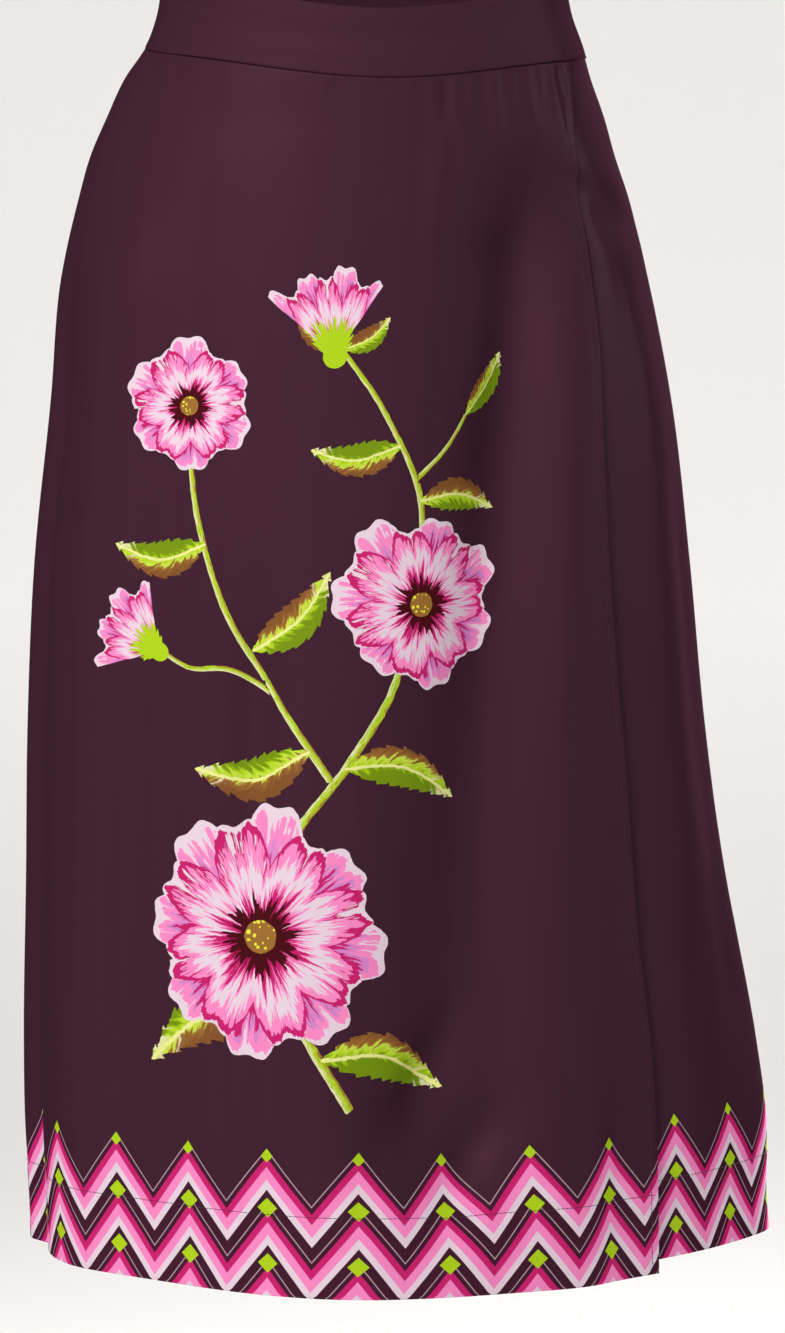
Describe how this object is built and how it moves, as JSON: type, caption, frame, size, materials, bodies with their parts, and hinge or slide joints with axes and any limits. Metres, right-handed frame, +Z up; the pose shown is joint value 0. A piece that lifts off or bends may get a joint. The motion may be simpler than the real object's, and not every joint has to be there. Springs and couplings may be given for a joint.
{
  "type": "wrap skirt",
  "caption": "Midi wrap skirt in satin, worn shape: a shaped waistband, a front lapped over an under front to a free edge at the left hip, a back, and hidden hooks.",
  "frame": {"origin": "centre of the waist opening, level with the waistband's top edge at the sides", "axes": "+Z up out of the waist, the front faces -Y, the wearer's left is at +X"},
  "size_m": [0.4607, 0.382, 0.7771],
  "materials": {
    "satin": "smooth dark aubergine satin with a soft broad sheen, printed with flowers and a hem border",
    "hook": "bright nickel plate"
  },
  "bodies": {
    "root": {"front_overlap": "satin", "front_underlap": "satin", "back": "satin", "waistband": "satin", "outer_hook": "hook", "outer_bar": "hook", "inner_hook": "hook", "inner_bar": "hook"}
  },
  "joints": []
}
